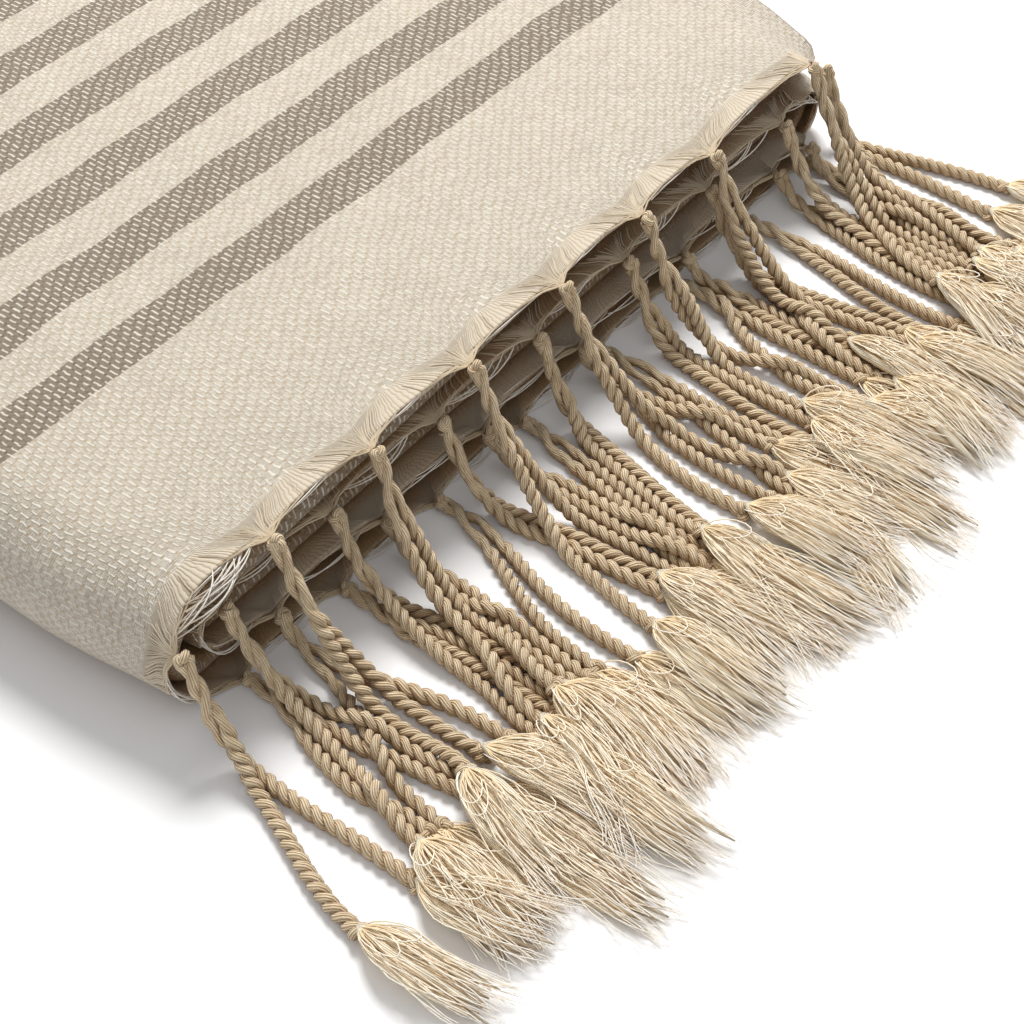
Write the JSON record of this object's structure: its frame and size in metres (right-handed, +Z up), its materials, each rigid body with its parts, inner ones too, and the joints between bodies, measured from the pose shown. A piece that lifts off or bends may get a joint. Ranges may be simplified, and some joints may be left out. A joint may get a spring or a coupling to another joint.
{
  "type": "folded hammam towel",
  "caption": "Folded cotton hammam towel with taupe weft stripes and a knotted, twisted-cord fringe at both ends.",
  "frame": {"origin": "under the middle of the whole towel, fringes included, on the surface it lies on", "axes": "+X along the fringed front edge, +Y from the front edge to the back fold, +Z up"},
  "size_m": [0.263, 0.7632, 0.0325],
  "materials": {
    "cotton_cloth": "soft matt twill weave, cream with taupe weft stripes",
    "cotton_cord": "matt two-ply cotton cord with loose brushed ends"
  },
  "bodies": {
    "root": {"cloth": "cotton_cloth", "fringe_front": "cotton_cord", "fringe_back": "cotton_cord"}
  },
  "joints": []
}
